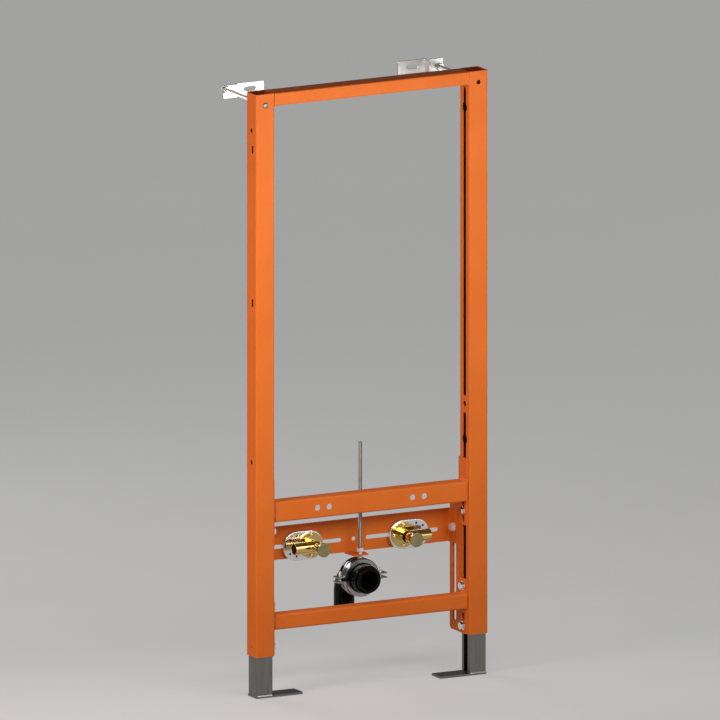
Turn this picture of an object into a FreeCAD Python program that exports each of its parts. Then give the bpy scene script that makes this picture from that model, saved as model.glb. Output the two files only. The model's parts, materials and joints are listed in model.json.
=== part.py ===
"""Wall hung bidet frame: welded steel frame on two telescopic legs, with tap elbows and a waste bend.

The pieces are drawn about the centre line: x runs across the frame, y runs back from the front faces
of the posts and z runs up from the floor. They are then moved so that the origin lies on the
underside of the left foot plate, on the axis of the left leg. All sizes are in millimetres.
"""
import math
import os

import FreeCAD
import Part

Vector = FreeCAD.Vector

# Posts and legs
HEIGHT = 1180.0
POST_SPACING = 460.0
POST_SIDE = 40.0
POST_WALL = 2.0
POST_RADIUS = 3.0
POST_BOTTOM = 80.0
LEG_CLEARANCE = 0.5
LEG_WALL = 2.0
LEG_RADIUS = 2.5
LEG_TOP = 340.0
LEG_SLOT = 16.0
FOOT_LENGTH = 100.0
FOOT_DEPTH = 38.0
FOOT_THICKNESS = 4.0
FOOT_RADIUS = 3.0
FOOT_OVERHANG = 0.5
FOOT_HOLE = 11.0
FOOT_HOLE_INSET = 22.0

# Punched slots and holes of the posts
POST_SLOT = 12.0
UPPER_SLOT_BOTTOM = 543.0
UPPER_SLOT_DROP = 32.0
LOWER_SLOT_LIFT = 8.0
LOWER_SLOT_TOP = 512.0
SPARE_HOLE = 11.0
SPARE_HOLE_Z = 528.0
KEYHOLE = 20.0
KEYHOLE_LOW = 459.0
KEYHOLE_DROP = 72.0
KEY_SCREW_HOLE = 9.0
HANGER_SLOT = (8.0, 15.0)
HANGER_SLOT_SETBACK = 15.5
HANGER_SLOT_DROPS = (109.0, 409.0)
LEG_MARK_HOLE = 4.0
LEG_MARK_LIFT = 19.0

# Cross members
TOP_BAR_HEIGHT = 25.0
TOP_BAR_WALL = 2.0
TOP_BAR_RADIUS = 2.5
RAIL_SETBACK = 3.0
RAIL_WALL = 2.5
RAIL_RADIUS = 4.0
UPPER_RAIL_Z = 360.0
UPPER_RAIL_HEIGHT = 40.0
UPPER_RAIL_DEPTH = 28.0
LOWER_RAIL_Z = 145.0
LOWER_RAIL_HEIGHT = 30.0
LOWER_RAIL_DEPTH = 25.0
FIXING_SPACINGS = (180.0, 230.0)
FIXING_HOLE = 12.0

# Side plates
SIDE_PLATE = 3.0
SIDE_PLATE_BACK = 75.0
SIDE_PLATE_RADIUS = 8.0
SIDE_PLATE_TOP = 423.0
SIDE_PLATE_SHOULDER = 345.0
SHOULDER_SETBACK = 1.0
TAB_FRONT = 6.0
UPPER_TAB_BOTTOM = 292.0
LOWER_TAB_TOP = 187.0
NECK_FRONT = 35.0
TAP_SLOT_Y = 55.0
TAP_SLOT_WIDTH = 12.0
TAP_SLOT = (98.0, 300.0)
CLAMP_SLOT = (297.0, 343.0)
SIGHT_SLOT = (104.0, 120.0)
SIGHT_SLOT_WIDTH = 10.0
KEY_RIDGE_Z = 405.0
KEY_RIDGE_LENGTH = 22.0
KEY_RIDGE_WIDTH = 6.0
KEY_RIDGE_RISE = 1.5

# Screws and nuts
BOLT = 8.0
BOLT_HOLE = 9.0
THREAD_CLEARANCE = 0.2
BOLT_HEAD_FLATS = 13.0
BOLT_HEAD_HEIGHT = 6.0
BOLT_FLANGE = 18.0
BOLT_FLANGE_THICKNESS = 1.5
CORNER_CHAMFER = 30.0
CORNER_LAND = 0.95
NUT_HEIGHT = 6.5
THIN_NUT_HEIGHT = 4.0
SIDE_BOLT_HEIGHTS = (95.0, 173.0, 320.0)
SLOT_NUT = (4.0, 24.0, 18.0)
SLOT_NUT_GAP = 0.3
BOLT_TIP = 2.0

# Tap plate
TAP_PLATE = 2.5
TAP_PLATE_FRONT = 75.0
TAP_PLATE_BOTTOM = 250.0
TAP_PLATE_HEIGHT = 65.0
TAP_PLATE_BEND = 4.0
TAP_FLANGE_FRONT = 42.0
TAP_PLATE_BOLT_Z = 281.0
MOUNT_SLOT = (26.0, 182.0)
MOUNT_SLOT_HEIGHT = 8.0
CENTRE_HOLE = 8.5
TAB_WIDTH = 30.0
TAB_ROOT_WIDTH = 38.0
TAB_REACH = 32.5
TAB_BEND = 2.2

# Tap elbows and their mounts
TAP_X = 100.0
TAP_Z = 275.0
MOUNT_LENGTH = 86.0
MOUNT_HEIGHT = 57.0
MOUNT_DEPTH = 11.0
MOUNT_SHEET = 2.5
MOUNT_EDGE = 2.0
MOUNT_STUD = 6.0
MOUNT_STUD_OFFSET = 22.0
MOUNT_NUT_FLATS = 10.0
MOUNT_NUT_HEIGHT = 5.0
MOUNT_WASHER = 14.0
MOUNT_WASHER_THICKNESS = 1.0
SCREW_CIRCLE = 20.0
SCREW_HOLE = 4.4
SCREW = 4.0
SCREW_HEAD = 8.0
SCREW_HEAD_HEIGHT = 3.0
ELBOW_FLANGE = 50.0
ELBOW_FLANGE_THICKNESS = 4.0
ELBOW_FLANGE_EDGE = 1.0
ELBOW_BODY = 24.0
ELBOW_BARREL = 18.0
ELBOW_COLLAR = 20.5
ELBOW_COLLAR_LENGTH = 7.0
ELBOW_BORE = 13.0
INLET_Y = 43.0
INLET_REACH = 46.0
INLET_ARM = 23.0
INLET_THREAD = 18.6
INLET_THREAD_DEPTH = 16.0
OUTLET_FRONT = 19.0
PLUG_FRONT = 5.0
PLUG_DISC = 27.5
PLUG_DISC_THICKNESS = 5.0
PLUG_DISC_EDGE = 0.8
PLUG_NECK = 15.5
PLUG_SHANK_DEPTH = 12.0

# Waste bend, its seal and its pipe clamp
DRAIN_Z = 205.0
CLAMP_Y = 49.0
SOCKET_RADIUS = 27.5
SOCKET_WALL = 4.0
SOCKET_FRONT = 18.0
SOCKET_EDGE = 1.5
SOCKET_FLOOR = 56.0
COLLAR_RADIUS = 36.0
COLLAR_GAP = 0.5
COLLAR_LENGTH = 9.5
COLLAR_EDGE = 2.0
SEAL_FRONT = 10.0
SEAL_BACK = 50.0
SEAL_LIP_RADIUS = 24.6
SEAL_LIP_CHAMFER = 1.0
SEAL_BORE_RADIUS = 19.0
SEAL_CLEARANCE = 0.3
PIPE_RADIUS = 20.0
PIPE_WALL = 3.0
BEND_RADIUS = 40.0
OUTLET_Y = 115.0
OUTLET_BOTTOM = 120.0
OUTLET_CHAMFER = 2.0
LINING_CLEARANCE = 0.2
LINING = 6.3
LINING_INSET = 0.5
BAND = 1.8
BAND_WIDTH = 19.0
BAND_LIP = 4.5
BAND_LIP_THICKNESS = 1.5
BEAD_WIDTH = 4.0
BEAD_RISE = 1.6
EAR_GAP = 7.0
EAR_REACH = 54.5
CLAMP_SCREW_X = 43.3
CLAMP_SCREW = 5.0
CLAMP_SCREW_TOP = 220.0
CLAMP_SCREW_HEAD = 10.0
CLAMP_SCREW_HEAD_HEIGHT = 3.0
CLAMP_BOSS = 12.0
CLAMP_BOSS_RISE = 3.0
DRAIN_ROD_TOP = 470.0
ROD_ENGAGEMENT = 3.5
DRAIN_NUT_LIFT = 5.5

# Wall plates and rods
WALL_Y = 172.0
WALL_PLATE = 3.0
WALL_PLATE_HEIGHT = 25.0
WALL_PLATE_REACH = 85.0
WALL_PLATE_END = 7.0
WALL_JOGGLE = 8.6
WALL_JOGGLE_REACH = 25.0
WALL_JOGGLE_RUN = 4.0
WALL_PLATE_RADIUS = 3.0
WALL_SLOT_REACH = 55.0
WALL_SLOT = (26.0, 9.5)
WALL_ROD_DROP = 22.0
WALL_ROD_OFFSET = 4.0
WALL_ROD_HEAD = 11.0
WALL_ROD_HEAD_HEIGHT = 2.5
WALL_ROD_INSIDE = 16.0

# Derived places
POST_X = POST_SPACING / 2
UPPER_SLOT = (UPPER_SLOT_BOTTOM, HEIGHT - UPPER_SLOT_DROP)
LOWER_SLOT = (POST_BOTTOM + LOWER_SLOT_LIFT, LOWER_SLOT_TOP)
KEYHOLE_HEIGHTS = (KEYHOLE_LOW, HEIGHT - KEYHOLE_DROP)
WALL_ROD_Z = HEIGHT - WALL_ROD_DROP
POST_INNER = POST_X - POST_SIDE / 2
PLATE_INNER = POST_INNER - SIDE_PLATE
POST_MIDDLE = POST_SIDE / 2
LEG_SIDE = POST_SIDE - 2 * (POST_WALL + LEG_CLEARANCE)
RAIL_SPAN = (-PLATE_INNER, PLATE_INNER)
MOUNT_X = TAP_X + (MOUNT_LENGTH - MOUNT_HEIGHT) / 2
MOUNT_FRONT = TAP_PLATE_FRONT - MOUNT_DEPTH
TAP_PLATE_BACK = TAP_PLATE_FRONT + TAP_PLATE
LINING_RADIUS = SOCKET_RADIUS + LINING_CLEARANCE
BAND_RADIUS = LINING_RADIUS + LINING
CLAMP_RADIUS = BAND_RADIUS + BAND
LIP_RADIUS = BAND_RADIUS - BAND_LIP
CLAMP_BOSS_TOP = DRAIN_Z + CLAMP_RADIUS + CLAMP_BOSS_RISE
DRAIN_TAB_BOTTOM = TAP_PLATE_BOTTOM - TAP_PLATE
ROD_PLATE_FRONT = WALL_Y - WALL_JOGGLE - WALL_PLATE
WALL_PLATE_INNER = POST_X - WALL_PLATE_REACH
WALL_PLATE_OUTER = POST_X + WALL_PLATE_END
WALL_JOGGLE_X = POST_X - WALL_JOGGLE_REACH
WALL_SLOT_X = POST_X - WALL_SLOT_REACH
ORIGIN_SHIFT = Vector(POST_X, -POST_MIDDLE, 0)

AXES = {"x": Vector(1, 0, 0), "y": Vector(0, 1, 0), "z": Vector(0, 0, 1)}


def box(x, y, z):
    """Block between pairs of low and high coordinates."""
    corner = Vector(x[0], y[0], z[0])
    return Part.makeBox(x[1] - x[0], y[1] - y[0], z[1] - z[0], corner)


def cylinder(axis, start, diameter, length):
    """Round bar from a start point along an axis, backwards where the length is negative."""
    direction = AXES[axis] * math.copysign(1, length)
    return Part.makeCylinder(diameter / 2, abs(length), start, direction)


def through_hole(axis, centre, diameter, depth):
    """Round cutter centred on a point of the wall that it passes through."""
    return cylinder(axis, centre - AXES[axis] * (depth / 2), diameter, depth)


def slot(through, along, centre, length, width, depth):
    """Stadium-shaped cutter centred on a point: long one way, passing through the other."""
    across = next(name for name in AXES if name not in (through, along))
    straight = length - width
    size = AXES[through] * depth + AXES[along] * straight + AXES[across] * width
    block = Part.makeBox(size.x, size.y, size.z, centre - size * 0.5)
    ends = [through_hole(through, centre + AXES[along] * (side * straight / 2), width, depth)
            for side in (-1, 1)]
    return block.fuse(ends).removeSplitter()


def edges_along(shape, axis, wanted=lambda point: True):
    """Straight edges that run along an axis and whose middle point is wanted."""
    found = []
    for edge in shape.Edges:
        if not isinstance(edge.Curve, Part.Line):
            continue
        run = edge.Vertexes[-1].Point - edge.Vertexes[0].Point
        if abs(run.normalize().dot(AXES[axis])) > 0.999 and wanted(edge.CenterOfMass):
            found.append(edge)
    return found


def soften(shape, axis, radius, wanted=lambda point: True):
    """Round the wanted edges that run along an axis."""
    return shape.makeFillet(radius, edges_along(shape, axis, wanted))


def soften_rim(shape, radius, y):
    """Round the edges that lie in one plane across y."""
    rim = [edge for edge in shape.Edges
           if abs(edge.BoundBox.YMin - y) < radius / 2 and abs(edge.BoundBox.YMax - y) < radius / 2]
    return shape.makeFillet(radius, rim)


def hexagon(axis, start, flats, height):
    """Hexagonal prism that stands on a start point, along an axis, with its upper corners turned off."""
    corners = []
    for step in range(7):
        angle = math.radians(60 * step)
        reach = flats / math.sqrt(3)
        corners.append(Vector(reach * math.cos(angle), reach * math.sin(angle), 0))
    face = Part.Face(Part.makePolygon(corners))
    prism = face.extrude(Vector(0, 0, height)).common(turned_blank(flats, height))
    prism.Placement = FreeCAD.Placement(start, FreeCAD.Rotation(AXES["z"], AXES[axis]))
    return prism


def turned_blank(flats, height):
    """Round bar with a chamfered top that turns the corners off a hexagon."""
    corner = flats / math.sqrt(3)
    slope = math.tan(math.radians(CORNER_CHAMFER))
    drop = (corner - CORNER_LAND * flats / 2) * slope
    outline = [Vector(0, 0, 0), Vector(corner, 0, 0), Vector(corner, 0, height - drop),
               Vector(CORNER_LAND * flats / 2, 0, height), Vector(0, 0, height)]
    face = Part.Face(Part.makePolygon(outline + outline[:1]))
    return face.revolve(Vector(0, 0, 0), AXES["z"], 360)


def nut(axis, start, height, bore=BOLT + THREAD_CLEARANCE, flats=BOLT_HEAD_FLATS):
    """Hexagon nut that stands on a start point, along an axis."""
    middle = start + AXES[axis] * (height / 2)
    return hexagon(axis, start, flats, height).cut(through_hole(axis, middle, bore, 2 * abs(height)))


def revolve(profile, centre, angle=360.0):
    """Turn a closed outline of radius and y pairs about an axis along y."""
    points = [centre + Vector(radius, y - centre.y, 0) for radius, y in profile]
    face = Part.Face(Part.makePolygon(points + points[:1]))
    return face.revolve(centre, AXES["y"], angle)


def save(name, *solids):
    """Move the solids of a node to the origin of the part and write them."""
    shape = solids[0] if len(solids) == 1 else Part.makeCompound(list(solids))
    shape = shape.copy()
    shape.translate(ORIGIN_SHIFT)
    shape.exportStep(f"parts/{name}.step")


def mirrored(shape):
    """The same piece on the other side of the centre line."""
    return shape.mirror(Vector(0, 0, 0), AXES["x"])


def save_pair(name, *right_solids):
    """Write a right piece and its mirror image on the left."""
    save(f"right_{name}", *right_solids)
    save(f"left_{name}", *[mirrored(solid) for solid in right_solids])


def square_tube(side, wall, radius, z):
    """Upright square tube with round corners, on the axis of the right post."""
    def bar(half, corner):
        block = box((POST_X - half, POST_X + half), (POST_MIDDLE - half, POST_MIDDLE + half), z)
        return soften(block, "z", corner)

    inner_corner = max(radius - wall, wall / 4)
    return bar(side / 2, radius).cut(bar(side / 2 - wall, inner_corner))


def right_post():
    """Post with a slotted inner face, key holes through both sides and a hole for the wall rod."""
    post = square_tube(POST_SIDE, POST_WALL, POST_RADIUS, (POST_BOTTOM, HEIGHT))
    inner = Vector(POST_INNER + POST_WALL / 2, POST_MIDDLE, 0)
    outer = inner + Vector(POST_SIDE - POST_WALL, 0, 0)
    depth = 2 * POST_WALL
    cutters = []
    for low, high in (UPPER_SLOT, LOWER_SLOT):
        middle = inner + Vector(0, 0, (low + high) / 2)
        cutters.append(slot("x", "z", middle, high - low, POST_SLOT, depth))
    cutters.append(through_hole("x", inner + Vector(0, 0, SPARE_HOLE_Z), SPARE_HOLE, depth))
    for height in KEYHOLE_HEIGHTS:
        cutters.append(through_hole("x", inner + Vector(0, 0, height), KEYHOLE, depth))
        cutters.append(through_hole("x", outer + Vector(0, 0, height), KEY_SCREW_HOLE, depth))
    width, length = HANGER_SLOT
    for drop in HANGER_SLOT_DROPS:
        height = HEIGHT - drop
        y = (HANGER_SLOT_SETBACK - width / 2, HANGER_SLOT_SETBACK + width / 2)
        x = (outer.x - POST_WALL, outer.x + POST_WALL)
        cutters.append(box(x, y, (height - length / 2, height + length / 2)))
    cutters.append(through_hole("x", outer + Vector(0, 0, POST_BOTTOM + LEG_MARK_LIFT), LEG_MARK_HOLE, depth))
    rod_middle = Vector(POST_X, POST_MIDDLE, WALL_ROD_Z)
    cutters.append(through_hole("y", rod_middle, BOLT_HOLE, 2 * POST_SIDE))
    return post.cut(cutters)


def right_leg():
    """Telescopic leg: a tube that slides in the post, open along its inner face."""
    leg = square_tube(LEG_SIDE, LEG_WALL, LEG_RADIUS, (FOOT_THICKNESS, LEG_TOP))
    face = POST_X - LEG_SIDE / 2
    y = (POST_MIDDLE - LEG_SLOT / 2, POST_MIDDLE + LEG_SLOT / 2)
    return leg.cut(box((face - LEG_WALL, face + 2 * LEG_WALL), y, (0, HEIGHT)))


def right_foot_plate():
    """Foot plate that reaches in from under the leg, with a hole for the floor bolt."""
    outer = POST_X + LEG_SIDE / 2 + FOOT_OVERHANG
    inner = outer - FOOT_LENGTH
    y = (POST_MIDDLE - FOOT_DEPTH / 2, POST_MIDDLE + FOOT_DEPTH / 2)
    plate = soften(box((inner, outer), y, (0, FOOT_THICKNESS)), "z", FOOT_RADIUS)
    hole = Vector(inner + FOOT_HOLE_INSET, POST_MIDDLE, FOOT_THICKNESS / 2)
    return plate.cut(through_hole("z", hole, FOOT_HOLE, 2 * FOOT_THICKNESS))


def top_bar():
    """Rectangular tube between the tops of the posts."""
    x = (-POST_INNER, POST_INNER)
    bottom = HEIGHT - TOP_BAR_HEIGHT
    bar = soften(box(x, (0, POST_SIDE), (bottom, HEIGHT)), "x", TOP_BAR_RADIUS)
    wall = TOP_BAR_WALL
    hollow = box(x, (wall, POST_SIDE - wall), (bottom + wall, HEIGHT - wall))
    return bar.cut(hollow)


def channel(centre, height, depth):
    """Rail folded from sheet: a front web with an upper and a lower flange, open at the back."""
    z = (centre - height / 2, centre + height / 2)
    y = (RAIL_SETBACK, RAIL_SETBACK + depth)

    def at_front(point):
        return abs(point.y - RAIL_SETBACK) < RAIL_WALL / 2

    def at_web(point):
        return abs(point.y - RAIL_SETBACK - RAIL_WALL) < RAIL_WALL / 2

    rail = soften(box(RAIL_SPAN, y, z), "x", RAIL_RADIUS, at_front)
    inside = box(RAIL_SPAN, (y[0] + RAIL_WALL, y[1] + depth), (z[0] + RAIL_WALL, z[1] - RAIL_WALL))
    inside = soften(inside, "x", RAIL_RADIUS - RAIL_WALL, at_web)
    return rail.cut(inside)


def upper_rail():
    """Rail that carries the bowl, with a pair of fixing holes for each spacing."""
    rail = channel(UPPER_RAIL_Z, UPPER_RAIL_HEIGHT, UPPER_RAIL_DEPTH)
    holes = []
    for spacing in FIXING_SPACINGS:
        for x in (-spacing / 2, spacing / 2):
            centre = Vector(x, RAIL_SETBACK + RAIL_WALL / 2, UPPER_RAIL_Z)
            holes.append(through_hole("y", centre, FIXING_HOLE, 2 * RAIL_WALL))
    return rail.cut(holes)


def right_side_plate():
    """Plate on the inner face of the post that carries the rails and the tap plate."""
    shoulder_y = POST_SIDE - SHOULDER_SETBACK
    outline = [
        (TAB_FRONT, POST_BOTTOM), (SIDE_PLATE_BACK, POST_BOTTOM),
        (SIDE_PLATE_BACK, SIDE_PLATE_SHOULDER), (shoulder_y, SIDE_PLATE_SHOULDER),
        (shoulder_y, SIDE_PLATE_TOP), (TAB_FRONT, SIDE_PLATE_TOP),
        (TAB_FRONT, UPPER_TAB_BOTTOM), (NECK_FRONT, UPPER_TAB_BOTTOM),
        (NECK_FRONT, LOWER_TAB_TOP), (TAB_FRONT, LOWER_TAB_TOP),
    ]
    points = [Vector(PLATE_INNER, y, z) for y, z in outline]
    face = Part.Face(Part.makePolygon(points + points[:1]))
    plate = face.extrude(Vector(SIDE_PLATE, 0, 0))
    plate = soften(plate, "x", SIDE_PLATE_RADIUS, lambda point: point.y > shoulder_y + SIDE_PLATE)
    plate = soften(plate, "x", SIDE_PLATE / 2, lambda point: point.y < NECK_FRONT + SIDE_PLATE / 2)

    def upright(y, span, width):
        centre = Vector(PLATE_INNER + SIDE_PLATE / 2, y, (span[0] + span[1]) / 2)
        return slot("x", "z", centre, span[1] - span[0], width, 2 * SIDE_PLATE)

    cutters = [
        upright(TAP_SLOT_Y, TAP_SLOT, TAP_SLOT_WIDTH),
        upright(POST_MIDDLE, CLAMP_SLOT, BOLT_HOLE),
        upright(POST_MIDDLE, SIGHT_SLOT, SIGHT_SLOT_WIDTH),
    ]
    for height in SIDE_BOLT_HEIGHTS:
        centre = Vector(PLATE_INNER + SIDE_PLATE / 2, POST_MIDDLE, height)
        cutters.append(through_hole("x", centre, BOLT_HOLE, 2 * SIDE_PLATE))
    ridge_centre = Vector(PLATE_INNER - KEY_RIDGE_RISE / 2, POST_MIDDLE, KEY_RIDGE_Z)
    ridge = slot("x", "z", ridge_centre, KEY_RIDGE_LENGTH, KEY_RIDGE_WIDTH, KEY_RIDGE_RISE)
    return plate.cut(cutters).fuse(ridge).removeSplitter()


def flange_bolt(start, length):
    """Flanged hexagon bolt along x: its head lies inwards of the start point."""
    flange = cylinder("x", start, BOLT_FLANGE, -BOLT_FLANGE_THICKNESS)
    seat = start - AXES["x"] * (BOLT_FLANGE_THICKNESS + BOLT_HEAD_HEIGHT)
    head = hexagon("x", seat, BOLT_HEAD_FLATS, BOLT_HEAD_HEIGHT)
    shank = cylinder("x", start, BOLT, length)
    return flange.fuse([head, shank]).removeSplitter()


def flange_nut(axis, start, sizes, bore):
    """Nut with a washer face that stands on a start point, along an axis."""
    washer, thickness, flats, height = sizes
    seat = start + AXES[axis] * thickness
    body = cylinder(axis, start, washer, thickness).fuse(hexagon(axis, seat, flats, height))
    total = thickness + height
    return body.cut(through_hole(axis, start + AXES[axis] * (total / 2), bore, 2 * total))


def right_slot_nut(height):
    """Square nut behind the lips of the leg, which clamps plate, post and leg together."""
    thickness, width, length = SLOT_NUT
    low = POST_X - LEG_SIDE / 2 + LEG_WALL + SLOT_NUT_GAP
    y = (POST_MIDDLE - width / 2, POST_MIDDLE + width / 2)
    block = box((low, low + thickness), y, (height - length / 2, height + length / 2))
    centre = Vector(low + thickness / 2, POST_MIDDLE, height)
    return block.cut(through_hole("x", centre, BOLT + THREAD_CLEARANCE, 2 * thickness))


def right_side_bolt(height):
    """Bolt from the side plate into its slot nut."""
    nut_back = POST_X - LEG_SIDE / 2 + LEG_WALL + SLOT_NUT_GAP + SLOT_NUT[0]
    start = Vector(PLATE_INNER, POST_MIDDLE, height)
    return flange_bolt(start, nut_back + BOLT_TIP - PLATE_INNER)


def tap_plate():
    """Folded plate between the side plates, slotted for the taps, with a tab for the pipe clamp."""
    top = TAP_PLATE_BOTTOM + TAP_PLATE_HEIGHT
    z = (TAP_PLATE_BOTTOM, top)
    half = PLATE_INNER
    fold = soften(box((-half, half), (TAP_FLANGE_FRONT, TAP_PLATE_BACK), z), "z", TAP_PLATE_BEND,
                  lambda point: point.y > TAP_PLATE_FRONT)
    clear = half - TAP_PLATE
    inside = box((-clear, clear), (TAP_FLANGE_FRONT - TAP_PLATE, TAP_PLATE_FRONT), z)
    inside = soften(inside, "z", TAP_PLATE_BEND - TAP_PLATE,
                    lambda point: point.y > TAP_PLATE_FRONT - TAP_PLATE)
    plate = fold.cut(inside).fuse(drain_tab())
    web = TAP_PLATE_FRONT + TAP_PLATE / 2
    cutters = [through_hole("y", Vector(0, web, TAP_Z), CENTRE_HOLE, 2 * TAP_PLATE)]
    for side in (-1, 1):
        low, high = MOUNT_SLOT
        centre = Vector(side * (low + high) / 2, web, TAP_Z)
        cutters.append(slot("y", "x", centre, high - low, MOUNT_SLOT_HEIGHT, 2 * TAP_PLATE))
        bolt = Vector(side * (half - TAP_PLATE / 2), TAP_SLOT_Y, TAP_PLATE_BOLT_Z)
        cutters.append(through_hole("x", bolt, BOLT_HOLE, 2 * TAP_PLATE))
    return plate.cut(cutters).removeSplitter()


def drain_tab():
    """Tapered tab folded forward from the lower edge of the tap plate, tapped for the drain rod."""
    front = TAP_PLATE_FRONT - TAB_REACH
    z = (DRAIN_TAB_BOTTOM, TAP_PLATE_BOTTOM)
    outline = [(-TAB_WIDTH / 2, front), (TAB_WIDTH / 2, front),
               (TAB_ROOT_WIDTH / 2, TAP_PLATE_BACK), (-TAB_ROOT_WIDTH / 2, TAP_PLATE_BACK)]
    points = [Vector(x, y, z[0]) for x, y in outline]
    face = Part.Face(Part.makePolygon(points + points[:1]))
    tab = face.extrude(Vector(0, 0, TAP_PLATE))
    tab = soften(tab, "x", TAB_BEND,
                 lambda point: point.y > TAP_PLATE_FRONT and point.z < z[0] + TAP_PLATE / 2)
    hole = Vector(0, CLAMP_Y, (z[0] + z[1]) / 2)
    return tab.cut(through_hole("z", hole, BOLT + THREAD_CLEARANCE, 2 * TAP_PLATE))


def right_tap_plate_bolt():
    """Bolt through the flange of the tap plate and the slot of the side plate."""
    start = Vector(PLATE_INNER - TAP_PLATE, TAP_SLOT_Y, TAP_PLATE_BOLT_Z)
    nut_top = BOLT_FLANGE_THICKNESS + BOLT_HEAD_HEIGHT
    return flange_bolt(start, TAP_PLATE + SIDE_PLATE + nut_top + BOLT_TIP)


def right_tap_plate_nut():
    """Nut of that bolt, on the outer side of the side plate."""
    start = Vector(POST_INNER, TAP_SLOT_Y, TAP_PLATE_BOLT_Z)
    sizes = (BOLT_FLANGE, BOLT_FLANGE_THICKNESS, BOLT_HEAD_FLATS, BOLT_HEAD_HEIGHT)
    return flange_nut("x", start, sizes, BOLT + THREAD_CLEARANCE)


def circle_point(angle, y, centre_x=TAP_X):
    """Point on the screw circle about one end of a tap mount."""
    turn = math.radians(angle)
    return Vector(centre_x + SCREW_CIRCLE * math.cos(turn), y, TAP_Z + SCREW_CIRCLE * math.sin(turn))


def mount_stud_places(y):
    """Places of the two studs that hold a mount in its slot."""
    return [Vector(MOUNT_X + side * MOUNT_STUD_OFFSET, y, TAP_Z) for side in (-1, 1)]


def right_tap_mount():
    """Pressed steel dish behind the elbow, with two studs that pass through the slot."""
    middle = Vector(MOUNT_X, MOUNT_FRONT + MOUNT_DEPTH / 2, TAP_Z)
    dish = slot("y", "x", middle, MOUNT_LENGTH, MOUNT_HEIGHT, MOUNT_DEPTH)
    dish = soften_rim(dish, MOUNT_EDGE, MOUNT_FRONT)
    inner_length = MOUNT_LENGTH - 2 * MOUNT_SHEET
    inner_height = MOUNT_HEIGHT - 2 * MOUNT_SHEET
    back = middle + Vector(0, MOUNT_SHEET, 0)
    cutters = [slot("y", "x", back, inner_length, inner_height, MOUNT_DEPTH)]
    face_middle = MOUNT_FRONT + MOUNT_SHEET / 2
    outer_centre = 2 * MOUNT_X - TAP_X
    for angle in (90, 180, 270):
        cutters.append(through_hole("y", circle_point(angle, face_middle), SCREW_HOLE, 2 * MOUNT_SHEET))
    for angle in (-90, -45, 45, 90):
        place = circle_point(angle, face_middle, outer_centre)
        cutters.append(through_hole("y", place, SCREW_HOLE, 2 * MOUNT_SHEET))
    dish = dish.cut(cutters)
    nut_back = TAP_PLATE_BACK + MOUNT_WASHER_THICKNESS + MOUNT_NUT_HEIGHT
    studs = [cylinder("y", place, MOUNT_STUD, nut_back + BOLT_TIP - place.y)
             for place in mount_stud_places(MOUNT_FRONT + MOUNT_SHEET)]
    return dish.fuse(studs)


def right_mount_nuts():
    """Washer nuts behind the tap plate, one on each stud of the mount."""
    sizes = (MOUNT_WASHER, MOUNT_WASHER_THICKNESS, MOUNT_NUT_FLATS, MOUNT_NUT_HEIGHT)
    return [flange_nut("y", place, sizes, MOUNT_STUD + THREAD_CLEARANCE)
            for place in mount_stud_places(TAP_PLATE_BACK)]


def right_tap_elbow():
    """Brass wall elbow: flange, barrel to the front and a threaded inlet to the side."""
    flange_front = MOUNT_FRONT - ELBOW_FLANGE_THICKNESS
    front = Vector(TAP_X, OUTLET_FRONT, TAP_Z)
    crossing = Vector(TAP_X, INLET_Y, TAP_Z)
    arm_end = Vector(TAP_X + INLET_REACH, INLET_Y, TAP_Z)
    flange_start = Vector(TAP_X, flange_front, TAP_Z)
    flange = cylinder("y", flange_start, ELBOW_FLANGE, ELBOW_FLANGE_THICKNESS)
    flange = soften_rim(flange, ELBOW_FLANGE_EDGE, flange_front)
    solids = [
        cylinder("y", front, ELBOW_BARREL, flange_front - OUTLET_FRONT),
        cylinder("y", front, ELBOW_COLLAR, ELBOW_COLLAR_LENGTH),
        cylinder("y", crossing, ELBOW_BODY, flange_front - INLET_Y),
        Part.makeSphere(ELBOW_BODY / 2, crossing),
        cylinder("x", crossing, INLET_ARM, INLET_REACH),
    ]
    cutters = [
        cylinder("y", front, ELBOW_BORE, INLET_Y - OUTLET_FRONT),
        cylinder("x", crossing, ELBOW_BORE, INLET_REACH),
        cylinder("x", arm_end, INLET_THREAD, -INLET_THREAD_DEPTH),
    ]
    for angle in (90, 180, 270):
        place = circle_point(angle, flange_front + ELBOW_FLANGE_THICKNESS / 2)
        cutters.append(through_hole("y", place, SCREW_HOLE, 2 * ELBOW_FLANGE_THICKNESS))
    return flange.fuse(solids).cut(cutters).removeSplitter()


def right_tap_plug():
    """Test plug in the front of the elbow: a plain disc on a neck."""
    disc_start = Vector(TAP_X, PLUG_FRONT, TAP_Z)
    disc_back = disc_start + AXES["y"] * PLUG_DISC_THICKNESS
    outlet = Vector(TAP_X, OUTLET_FRONT, TAP_Z)
    disc = cylinder("y", disc_start, PLUG_DISC, PLUG_DISC_THICKNESS)
    disc = soften_rim(disc, PLUG_DISC_EDGE, PLUG_FRONT)
    neck = cylinder("y", disc_back, PLUG_NECK, OUTLET_FRONT - disc_back.y)
    shank = cylinder("y", outlet, ELBOW_BORE - THREAD_CLEARANCE, PLUG_SHANK_DEPTH)
    return disc.fuse([neck, shank]).removeSplitter()


def right_tap_screws():
    """Screws that hold the flange of the elbow to its mount."""
    flange_front = MOUNT_FRONT - ELBOW_FLANGE_THICKNESS
    grip = ELBOW_FLANGE_THICKNESS + MOUNT_SHEET + BOLT_TIP
    screws = []
    for angle in (90, 180, 270):
        place = circle_point(angle, flange_front)
        head = cylinder("y", place, SCREW_HEAD, -SCREW_HEAD_HEIGHT)
        screws.append(head.fuse(cylinder("y", place, SCREW, grip)).removeSplitter())
    return screws


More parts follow.
